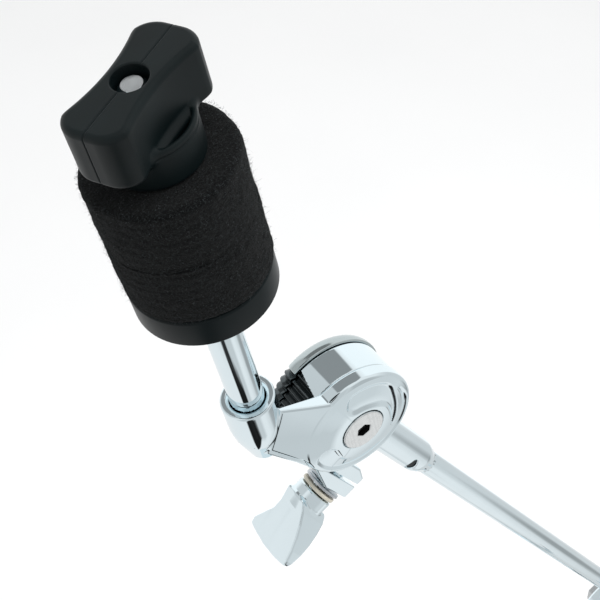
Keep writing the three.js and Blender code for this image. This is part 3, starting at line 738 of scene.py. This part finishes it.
# ---------------------------------------------------------------- the arm's end
# Millimetres in the arm's frame: X along the arm's line and away from the arm, which lies at
# negative X, Y along the hinge.
LUG_OUTLINE = [(0, -18.5), (-22, -25.3), (-36.5, -25.3), (-36.5, -16), (-31, -13.8), (0, -13.8)]
LUG_BOLT_X, LUG_BOLT_Y, LUG_HOLE = -29.4, -0.3, 3.3
SLIT, SLIT_HALF, SLIT_TURN = -19.5, 0.6, -9.4  # the slit's height, and where it turns to the bore
RING, RING_BORE, RING_HALF = 19.6, 14.3, 5.8
FERRULE, FERRULE_END, FERRULE_LENGTH = 6.4, 5.0, 70
TUBE_BORE, TUBE_STOP = 4.85, -48
HEAD_ANGLE = 67.7  # degrees from the arm's frame to the head's
TEETH_LAST, TEETH_SLANT = 64, 0.7  # the teeth's last degree, and how it falls with Y
STOP_X, STOP_ANGLE, STOP_LENGTH, STOP_WIDTH = -55.5, 58, 3.4, 1.5
STOP_FLOOR, STOP_TOP = 5.0, 5.7


def knuckle_shape(x, y, z):
    """The arm's end casting: a toothed drum, the tube's ferrule and a split lug."""
    r = np.hypot(x, z)
    turn = math.radians(HEAD_ANGLE)
    hx, hz = x * math.cos(turn) - z * math.sin(turn), x * math.sin(turn) + z * math.cos(turn)
    rim = r + teeth(hx, hz, RING, 1.7, last=TEETH_LAST - TEETH_SLANT * y)
    thick = between(y, -RING_HALF, RING_HALF)
    ring = meet(rim - RING, thick, 0.45)
    q = np.hypot(y, z)
    taper = FERRULE - (FERRULE - FERRULE_END) * smooth_step(-60, -69, x)
    ferrule = meet(q - taper, between(x, -FERRULE_LENGTH, -15), 1.2)
    neck = meet(meet(between(x, -22, -12), thick, 0.8), np.abs(z) - FERRULE, 1.5)
    lug = meet(outline(x, z, LUG_OUTLINE), thick, 0.7)
    whole = both(both(both(ring, ferrule, 2.0), neck, 2.0), lug, 0.8)
    whole = less(whole, r - RING_BORE, 0.4)
    whole = less(whole, meet(q - TUBE_BORE, x - TUBE_STOP), 0.2)
    slit = meet(between(x, -40, SLIT_TURN), np.abs(z - SLIT) - SLIT_HALF)
    rise = meet(between(x, SLIT_TURN - 2 * SLIT_HALF, SLIT_TURN), between(z, SLIT - SLIT_HALF, -8))
    whole = less(whole, both(slit, rise), 0.25)
    hole = np.hypot(x - LUG_BOLT_X, y - LUG_BOLT_Y) - LUG_HOLE
    whole = less(whole, meet(hole, z + 12), 0.3)
    return less(whole, np.maximum(stop_outline(x, y, z) - 0.25, 4 - q), 0.3)


def stop_outline(x, y, z):
    """Distance to the edge of the slanted oval stop in the ferrule's side."""
    along = np.radians(np.degrees(np.arctan2(y, -z)) - STOP_ANGLE) * FERRULE
    s = x - STOP_X
    a, b = 0.61 * s + 0.79 * along, -0.79 * s + 0.61 * along
    return (np.hypot(a / STOP_LENGTH, b / STOP_WIDTH) - 1) * STOP_WIDTH


def stop_shape(x, y, z):
    """The oval stop's top, which follows the ferrule's round."""
    return meet(stop_outline(x, y, z), between(np.hypot(y, z), STOP_FLOOR, STOP_TOP), 0.2)


# The tilter's cast wing: how far it reaches on the camera's side and on the far side of its bolt at
# the knots along the bolt, and its half thickness at the root and how that falls towards the tip.
WING_TURN = 99
WING_KNOTS = (-2, 0.5, 4.2, 8.1, 12, 16, 19.5)
WING_NEAR = (5.2, 7.6, 9.8, 11.6, 12.8, 13.4, 12.8)
WING_FAR = (5.2, 5.0, 4.7, 5.4, 7.8, 10.4, 10.2)
WING_ROOT, WING_TAPER = 6.5, 0.29
WING_START, WING_END = -2.1, 19.6
WING_HUB, WING_HUB_START, BOLT_SHANK, BOLT_TIP = 6.6, -6.3, 3, -22.8
WING = place(joints["tilter_bolt_turn"]["pos_m"], joints["tilter_bolt_turn"]["axis"],
             Matrix.Rotation(math.radians(WING_TURN), 3, BOLT.col[2].xyz) @ -ARM_AXIS)


def tilter_wing_shape(x, y, z):
    """A fan-shaped wing, thick at its hub and thin at its tip, on a threaded shank."""
    near, far = np.interp(z, WING_KNOTS, WING_NEAR), np.interp(z, WING_KNOTS, WING_FAR)
    hollow = 0.35 * np.exp(-((np.abs(x) - 3.5) / 2.4) ** 2)
    sides = meet(-x - far, x - near, 1.0)
    bar = meet(sides, (np.abs(y) - WING_ROOT + WING_TAPER * z + hollow) * 0.95, 0.9)
    bar = meet(bar, between(z, WING_START, WING_END - 0.01 * x * x), 0.9)
    rho = np.hypot(x, y)
    hub = meet(rho - WING_HUB + 0.12 * np.maximum(z + 2, 0), between(z, WING_HUB_START, 2.5), 0.7)
    shank = meet(rho - BOLT_SHANK + thread(z, x, y, 0.3), between(z, BOLT_TIP, -3), 0.3)
    return both(both(bar, hub, 0.8), shank, 0.3)


# ---------------------------------------------------------------- the wing nut
# Millimetres in the rod's frame, Z up from the hinge, turned so that X lies along the nut.
NUT_TURN = 27
NUT_LENGTH, NUT_CORNER, NUT_EDGE = 19.2, 6.4, 1.7
NUT_WAIST, NUT_FLARE, NUT_FLARE_AT = 7.1, 2.0, 14
WINGS_LOW, WINGS_HIGH = 141.8, 157.8
CORE, CORE_LOW, CORE_HIGH = 11.3, 137, 144.2
SKIRT, SKIRT_LOW, SKIRT_HIGH, SKIRT_BORE, SKIRT_ROOF = 12.2, 133.5, 144.8, 10.7, 141.2
RING_GROOVE, RING_GROOVE_HEIGHT, RING_GROOVE_HALF = 12.3, 142.9, 0.38
SEAM_DEPTH, SEAM_HALF = 0.22, 0.16
NUT_HOLE, INSERT_HOLE, INSERT_TOP, FLANGE_HOLE, FLANGE_TOP = 4.55, 5.5, 148.1, 7.9, 135.7


def wing_nut_shape(x, y, z):
    """The moulded nut: a waisted bar over a hollow round skirt, with its mould's seam."""
    rho = np.hypot(x, y)
    side = NUT_WAIST + NUT_FLARE * np.minimum(np.abs(x) / NUT_FLARE_AT, 1.05) ** 2
    plan = meet(np.abs(x) - NUT_LENGTH, (np.abs(y) - side) * 0.93, NUT_CORNER)
    bar = meet(plan, between(z, WINGS_LOW, WINGS_HIGH), NUT_EDGE)
    core = meet(meet(plan - NUT_EDGE, rho - CORE, 0.5), between(z, CORE_LOW, CORE_HIGH), 1.2)
    skirt = meet(rho - SKIRT, between(z, SKIRT_LOW, SKIRT_HIGH), 0.9)
    skirt = less(skirt, meet(rho - SKIRT_BORE, SKIRT_ROOF - z, 0.3), 0.7)
    groove = np.hypot(rho - RING_GROOVE, z - RING_GROOVE_HEIGHT) - RING_GROOVE_HALF
    skirt = less(skirt, groove, 0.12)
    whole = both(both(skirt, core, 0.5), bar, 1.5)
    seam = np.exp(-(y / SEAM_HALF) ** 2) * (np.abs(z - 150) < 9) * (z > 142)
    whole = whole + SEAM_DEPTH * seam
    whole = less(whole, meet(rho - NUT_HOLE, 149 - z), 0.45)
    whole = less(whole, rho - NUT_HOLE)
    whole = less(whole, meet(rho - INSERT_HOLE, z - INSERT_TOP))
    return less(whole, meet(rho - FLANGE_HOLE, z - FLANGE_TOP))


# ---------------------------------------------------------------- felts
FELT_RADIUS = 20.0
FELT_BORE = 6.7
AROUND = 260
CELL = 0.45
LAYER = 3.1
TOP_SHARE = 0.72  # hairs whose share is above this stand on the top face, the rest on the side
HAIRS = 9000
HAIR_RADIUS = 0.032
HAIR_STEPS = 4


def ruffle(u, v, rows, columns, generator):
    """Smooth noise between -1 and 1 on a grid that repeats in u; u and v run from 0 to 1."""
    lattice = generator.uniform(-1, 1, (rows, columns + 1))
    a, b = (u % 1) * rows, np.clip(v, 0, 0.9999) * columns
    i, j = np.floor(a).astype(int), np.floor(b).astype(int)
    s, t = smooth_step(0, 1, a - i), smooth_step(0, 1, b - j)
    near = lattice[i % rows, j] * (1 - t) + lattice[i % rows, j + 1] * t
    far = lattice[(i + 1) % rows, j] * (1 - t) + lattice[(i + 1) % rows, j + 1] * t
    return near * (1 - s) + far * s


def fibres(starts, outward, lengths, generator):
    """Closed three-sided hairs that start inside the felt and bend as they leave it."""
    count, steps = len(starts), HAIR_STEPS
    heading = outward + generator.normal(0, 0.7, (count, 3))
    heading /= np.linalg.norm(heading, axis=1, keepdims=True)
    path = [starts - outward * 0.25]
    for _ in range(steps):
        path.append(path[-1] + heading * (lengths / steps)[:, None])
        heading = heading + generator.normal(0, 0.5, (count, 3))
        heading /= np.linalg.norm(heading, axis=1, keepdims=True)
    side = np.cross(heading, [0.31, 0.52, 0.79])
    side /= np.linalg.norm(side, axis=1, keepdims=True)
    other = np.cross(heading, side)
    rings = []
    for k, p in enumerate(path):
        r = HAIR_RADIUS * (1 - 0.55 * k / steps)
        rings.append(np.stack([p + r * (math.cos(a) * side + math.sin(a) * other)
                               for a in (0, 2.0944, 4.1888)], 1))
    points = np.stack(rings, 1).reshape(-1, 3)
    base = (np.arange(count) * 3 * (steps + 1))[:, None]
    faces = []
    for k in range(steps):
        for c in range(3):
            n = (c + 1) % 3
            faces.append(base + np.array([3 * k + c, 3 * k + n, 3 * k + 3 + n, 3 * k + 3 + c]))
    quads = np.concatenate(faces)
    last = 3 * steps
    ends = np.concatenate([base + np.array([2, 1, 0]), base + np.array([last, last + 1, last + 2])])
    return points, quads, ends


def felt_piece(name, node, low, high, seed, edges):
    """A pressed felt washer: a lumpy, faintly layered ring with loose fibres standing off it."""
    generator = np.random.default_rng(seed)
    line = rounded([(FELT_BORE, low, 0.6), (FELT_RADIUS, low, edges[0]),
                    (FELT_RADIUS, high, edges[1]), (FELT_BORE, high, 0.6)], 6)
    fine = []
    for a, b in zip(line, np.roll(line, -1, axis=0)):
        steps = max(1, int(round(np.linalg.norm(b - a) / CELL)))
        fine.extend(a + (b - a) * k / steps for k in range(steps))
    fine = np.array(fine)
    tangent = np.roll(fine, -1, axis=0) - np.roll(fine, 1, axis=0)
    tangent /= np.linalg.norm(tangent, axis=1, keepdims=True)
    normal = np.stack([tangent[:, 1], -tangent[:, 0]], 1)
    rows = len(fine)
    u = np.repeat(np.arange(AROUND) / AROUND, rows)
    v = np.tile(np.arange(rows) / rows, AROUND)
    height = np.tile(fine[:, 1], AROUND)
    radius = np.tile(fine[:, 0], AROUND)
    lumps = 0.22 * ruffle(u, v, 16, 12, generator) + 0.14 * ruffle(u, v, 60, 40, generator) \
        + 0.11 * ruffle(u, v, 170, 110, generator)
    layer = height / LAYER + 0.35 * ruffle(u, v, 9, 5, generator)
    ridges = 0.42 * np.abs(np.sin(math.pi * layer)) ** 0.4 - 0.32
    outer = smooth_step(FELT_RADIUS - 2.5, FELT_RADIUS - 0.5, radius)
    push = lumps + ridges * outer * (0.55 + 0.45 * ruffle(u, v, 7, 6, generator))
    push *= smooth_step(FELT_BORE, FELT_BORE + 1, radius)
    radius = radius + np.tile(normal[:, 0], AROUND) * push
    height = height + np.tile(normal[:, 1], AROUND) * push * 0.6
    angle = u * 2 * math.pi
    points = np.stack([radius * np.cos(angle), radius * np.sin(angle), height], 1)
    i, j = np.meshgrid(np.arange(AROUND), np.arange(rows), indexing="ij")
    i2, j2 = (i + 1) % AROUND, (j + 1) % rows
    quads = np.stack([i * rows + j, i2 * rows + j, i2 * rows + j2, i * rows + j2], -1).reshape(-1, 4)

    a = generator.uniform(0, 2 * math.pi, HAIRS)
    share = generator.uniform(0, 1, HAIRS)
    top = share > TOP_SHARE
    r = np.where(top, generator.uniform(FELT_BORE + 6, FELT_RADIUS, HAIRS), FELT_RADIUS)
    h = np.where(top, high, low + (high - low) * share / TOP_SHARE)
    starts = np.stack([r * np.cos(a), r * np.sin(a), h], 1)
    outward = np.where(top[:, None], [0, 0, 1.0], np.stack([np.cos(a), np.sin(a), 0 * a], 1))
    lengths = generator.gamma(2.0, 0.34, HAIRS).clip(0.3, 2.4)
    hair_points, hair_quads, hair_ends = fibres(starts, outward, lengths, generator)
    faces = np.concatenate([quads, hair_quads + len(points)]).tolist()
    faces += (hair_ends + len(points)).tolist()
    obj = new_object(name, np.concatenate([points, hair_points]), faces, ROD)
    finish_piece(obj, node, FELT, WISP)
    material = np.zeros(len(faces), np.int32)
    material[len(quads):] = 1
    obj.data.polygons.foreach_set("material_index", material)


# ---------------------------------------------------------------- the whole stand
add_camera()
add_world()
add_light("overhead", (-0.3, 0.1, 1), 2.5, 42, 2.4)
add_light("side_fill", (-0.9, 0.5, 0.6), 1.6, 10)
add_floor()

# The head: tilter, screw, rod, seat and felts.
carved("tilter_casting", "tilter_body", tilter_shape, HEAD, 0.32, CHROME)
screw = carved("tilter_screw", "pivot_screw", screw_shape, HEAD, 0.2, SCREW_STEEL, SOCKET_PAINTED_SHADE)
# The faces inside the hex socket take the near-black second material, as painted shade.
paint(screw, lambda x, y, z: (np.hypot(x, z) < 2.75) & (y > 10) & (y < 13.75))
plate = carved("tilter_back_plate", "tilter_rear_plate", rear_plate_shape, HEAD, 0.3,
               BACK_PLATE_SHADED_CHROME, TEETH_PAINTED_SHADE)
# The teeth on the plate's rim take the near-black second material, as painted shade.
paint(plate, lambda x, y, z: (np.degrees(np.arctan2(z, x)) < 61) & (np.arctan2(z, x) > 0.3)
      & (np.hypot(x, z) > 16))
carved("tilter_lock_nut", "pivot_nut", nut_shape, HEAD, 0.25, ZINC)
rod = lathe("rod_bar", "cymbal_rod",
            [(0, 12.9), (5.4, 12.9, 0.5), (5.4, 86.8, 0.3), (3.9, 86.8), (3.9, 154.7, 0.2),
             (2.64, 156, 0.2), (0, 156)], ROD, CHROME, PIN_STEEL)
paint(rod, lambda x, y, z: z > 155.5)
lathe("seat_cup_moulding", "seat_cup",
      [(5.7, 83.2, 0.3), (18.4, 82.4, 1.0), (19.8, 84.2, 0.5), (19.8, 93.4, 0.9), (8.4, 93.4, 0.3),
       (8.4, 88.2), (4.2, 88.2), (4.2, 87.1), (5.7, 87.1)], ROD, CUP_PLASTIC, steps=96)
lathe("sleeve_tube", "cymbal_sleeve",
      [(4.25, 88.5, 0.2), (8, 88.5, 0.3), (8, 90.2, 0.3), (6.3, 90.2, 0.4), (6.3, 128.6, 0.5),
       (4.25, 128.6, 0.3)], ROD, CUP_PLASTIC)
felt_piece("felt_below", "lower_felt", 93.7, 113.4, 11, (1.0, 0.35))
felt_piece("felt_above", "upper_felt", 113.5, 133.2, 12, (0.35, 1.8))
carved("wing_nut_moulding", "wing_nut", wing_nut_shape, moved(ROD, turn=NUT_TURN), 0.27,
       BLACK_PLASTIC)
lathe("nut_bush", "nut_insert",
      [(4.2, 133.5, 0.2), (7.6, 133.5, 0.3), (7.6, 135.4, 0.3), (5.2, 135.4), (5.2, 147.8, 0.3),
       (4.2, 147.8, 0.2)], ROD, BRASS)

# The arm's end, its clamping bolt and the arm.
knuckle = carved("arm_end_casting", "arm_knuckle", knuckle_shape, ARM, 0.32, CHROME, TEETH_PAINTED_SHADE)
# The drum's toothed rim takes the near-black second material, as painted shade.
paint(knuckle, lambda x, y, z: (np.hypot(x, z) > 15.5) & (np.abs(
    np.degrees(np.arctan2(z, x) + math.radians(HEAD_ANGLE)) - 38) < 27 - TEETH_SLANT * y))
carved("ferrule_stop", "ferrule_pin", stop_shape, ARM, 0.2, BLACK_PLASTIC, margin=2)
for name, node, look, edge in (("lug_steel_washer", "lug_washer", ZINC, 0.25),
                               ("lug_nylon_washer", "nylon_washer", NYLON, 0.4)):
    low, high = local_box(node, BOLT)
    low[2] += 0.5
    lathe(name, node, [(LUG_HOLE, low[2], 0.15), (high[0], low[2], edge), (high[0], high[2], edge),
                       (LUG_HOLE, high[2], 0.15)], BOLT, look, steps=64)
carved("tilter_wing", "tilter_wing_bolt", tilter_wing_shape, WING, 0.3, CHROME, margin=8)
ARM_LINE = place(HINGE, ARM_AXIS, ACROSS)
TUBE_WALL, TUBE_RIM = 1.15, 0.5
low, high = local_box("boom_tube", ARM_LINE)
inner, outer = high[0] - TUBE_WALL, high[0]
lathe("boom_arm_tube", "boom_tube",
      [(inner, low[2], TUBE_RIM), (outer, low[2], TUBE_RIM), (outer, high[2], TUBE_RIM),
       (inner, high[2], TUBE_RIM)], ARM_LINE, TUBE_CHROME, steps=80)

# Every piece of the stand that has no shape of its own above keeps the CAD node's, finished.
LOOKS = {"chrome": CHROME, "satin_steel": PIN_STEEL, "zinc": ZINC, "rubber": RUBBER,
         "nylon": DARK_NYLON, "black_plastic": BLACK_PLASTIC, "fibre": FIBRE}
EDGE = 0.4
for node, cad in nodes.items():
    if not cad.hide_render:
        refined(node + "_finished", node, EDGE, LOOKS[SLOTS[node]])
